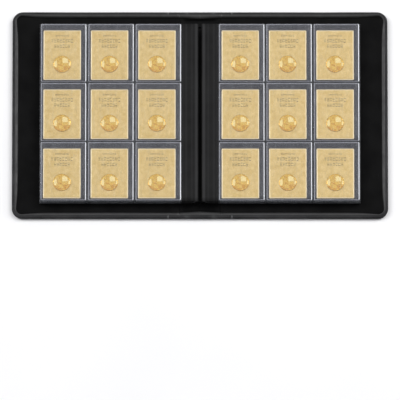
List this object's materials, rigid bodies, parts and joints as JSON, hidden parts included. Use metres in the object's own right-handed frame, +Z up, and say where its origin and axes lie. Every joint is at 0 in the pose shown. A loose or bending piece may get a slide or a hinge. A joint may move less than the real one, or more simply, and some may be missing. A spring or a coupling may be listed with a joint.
{
  "type": "coin album",
  "caption": "Zipless album with padded leatherette covers, a folding soft spine and turning pocket leaves whose clear rigid holders carry gold coin cards.",
  "frame": {"origin": "middle of the spine's underside, on the surface that the open album lies on", "axes": "+X from the spine towards the back cover's fore edge, +Y from the tail of the pages to their head, +Z up out of the pages"},
  "size_m": [0.6358, 0.368, 0.0228],
  "materials": {
    "cover_leatherette": "matte suede-like leatherette",
    "rim_leatherette": "smooth satin leatherette",
    "lining": "smooth satin leatherette",
    "foam": "open-cell foam",
    "board": "grey-brown bookbinder's board",
    "binding": "ribbed woven tape",
    "carrier_sheet": "fine-grained black plastic sheet",
    "clear_film": "clear flexible film",
    "rigid_holder": "clear rigid plastic",
    "gold_card": "finely brushed pale gold foil",
    "gold_coin": "polished facets"
  },
  "bodies": {
    "back_cover": {"back_cover_skin": "cover_leatherette", "back_cover_foam": "foam", "back_cover_board": "board", "back_cover_lining": "lining", "back_cover_rim": "rim_leatherette", "back_rim_core": "foam", "back_spine_flap": "cover_leatherette"},
    "spine": {"spine_skin": "cover_leatherette", "spine_lining": "lining", "page_binding_strip": "binding"},
    "front_cover": {"front_cover_skin": "cover_leatherette", "front_cover_foam": "foam", "front_cover_board": "board", "front_cover_lining": "lining", "front_cover_rim": "rim_leatherette", "front_rim_core": "foam", "front_spine_flap": "cover_leatherette"},
    "right_pages": {"right_page_gusset": "binding"},
    "left_pages": {"left_page_gusset": "binding"},
    "right_leaf_1": {"right_sheet_1": "carrier_sheet", "right_films_1": "clear_film", "right_lower_holders": "rigid_holder", "right_lower_cards": "gold_card", "right_lower_coins": "gold_coin"},
    "right_leaf_2": {"right_sheet_2": "carrier_sheet", "right_films_2": "clear_film"},
    "right_leaf_3": {"right_sheet_3": "carrier_sheet", "right_films_3": "clear_film"},
    "right_slot_a": {"right_holder_a": "rigid_holder", "right_card_a": "gold_card", "right_coin_a": "gold_coin"},
    "right_slot_b": {"right_holder_b": "rigid_holder", "right_card_b": "gold_card", "right_coin_b": "gold_coin"},
    "right_slot_c": {"right_holder_c": "rigid_holder", "right_card_c": "gold_card", "right_coin_c": "gold_coin"},
    "left_leaf_1": {"left_sheet_1": "carrier_sheet", "left_films_1": "clear_film", "left_lower_holders": "rigid_holder", "left_lower_cards": "gold_card", "left_lower_coins": "gold_coin"},
    "left_leaf_2": {"left_sheet_2": "carrier_sheet", "left_films_2": "clear_film"},
    "left_leaf_3": {"left_sheet_3": "carrier_sheet", "left_films_3": "clear_film"},
    "left_slot_a": {"left_holder_a": "rigid_holder", "left_card_a": "gold_card", "left_coin_a": "gold_coin"},
    "left_slot_b": {"left_holder_b": "rigid_holder", "left_card_b": "gold_card", "left_coin_b": "gold_coin"},
    "left_slot_c": {"left_holder_c": "rigid_holder", "left_card_c": "gold_card", "left_coin_c": "gold_coin"}
  },
  "joints": [
    {"name": "close_album", "type": "hinge", "parent": "back_cover", "child": "spine", "pos_m": [0.0224, 0, 0.0006], "axis": [0, 1, 0], "range_deg": [0, 90]},
    {"name": "front_cover_fold", "type": "hinge", "parent": "spine", "child": "front_cover", "pos_m": [-0.0224, 0, 0.0006], "axis": [0, 1, 0], "range_deg": [0, 90]},
    {"name": "right_pages_lean", "type": "hinge", "parent": "spine", "child": "right_pages", "pos_m": [0.0111, 0, 0.0119], "axis": [0, 1, 0], "range_deg": [-90, 0]},
    {"name": "left_pages_lean", "type": "hinge", "parent": "spine", "child": "left_pages", "pos_m": [-0.0111, 0, 0.0119], "axis": [0, 1, 0], "range_deg": [0, 90]},
    {"name": "right_leaf_3_turn", "type": "hinge", "parent": "right_pages", "child": "right_leaf_3", "pos_m": [0, 0, 0.023], "axis": [0, 1, 0], "range_deg": [-180, 0]},
    {"name": "right_leaf_2_turn", "type": "hinge", "parent": "right_leaf_3", "child": "right_leaf_2", "pos_m": [0, 0, 0.023], "axis": [0, 1, 0], "range_deg": [-180, 0]},
    {"name": "right_leaf_1_turn", "type": "hinge", "parent": "right_leaf_2", "child": "right_leaf_1", "pos_m": [0, 0, 0.023], "axis": [0, 1, 0], "range_deg": [-180, 0]},
    {"name": "right_holder_a_slide", "type": "slide", "parent": "right_leaf_1", "child": "right_slot_a", "axis": [0, 1, 0], "range_m": [0, 0.106]},
    {"name": "right_holder_b_slide", "type": "slide", "parent": "right_leaf_1", "child": "right_slot_b", "axis": [0, 1, 0], "range_m": [0, 0.106]},
    {"name": "right_holder_c_slide", "type": "slide", "parent": "right_leaf_1", "child": "right_slot_c", "axis": [0, 1, 0], "range_m": [0, 0.106]},
    {"name": "left_leaf_3_turn", "type": "hinge", "parent": "left_pages", "child": "left_leaf_3", "pos_m": [0, 0, 0.023], "axis": [0, -1, 0], "range_deg": [-180, 0]},
    {"name": "left_leaf_2_turn", "type": "hinge", "parent": "left_leaf_3", "child": "left_leaf_2", "pos_m": [0, 0, 0.023], "axis": [0, -1, 0], "range_deg": [-180, 0]},
    {"name": "left_leaf_1_turn", "type": "hinge", "parent": "left_leaf_2", "child": "left_leaf_1", "pos_m": [0, 0, 0.023], "axis": [0, -1, 0], "range_deg": [-180, 0]},
    {"name": "left_holder_a_slide", "type": "slide", "parent": "left_leaf_1", "child": "left_slot_a", "axis": [0, 1, 0], "range_m": [0, 0.106]},
    {"name": "left_holder_b_slide", "type": "slide", "parent": "left_leaf_1", "child": "left_slot_b", "axis": [0, 1, 0], "range_m": [0, 0.106]},
    {"name": "left_holder_c_slide", "type": "slide", "parent": "left_leaf_1", "child": "left_slot_c", "axis": [0, 1, 0], "range_m": [0, 0.106]}
  ],
  "couplings": [
    {"joint": "front_cover_fold", "follows": "close_album", "ratio": 1},
    {"joint": "right_pages_lean", "follows": "close_album", "ratio": -1},
    {"joint": "left_pages_lean", "follows": "close_album", "ratio": 1}
  ]
}
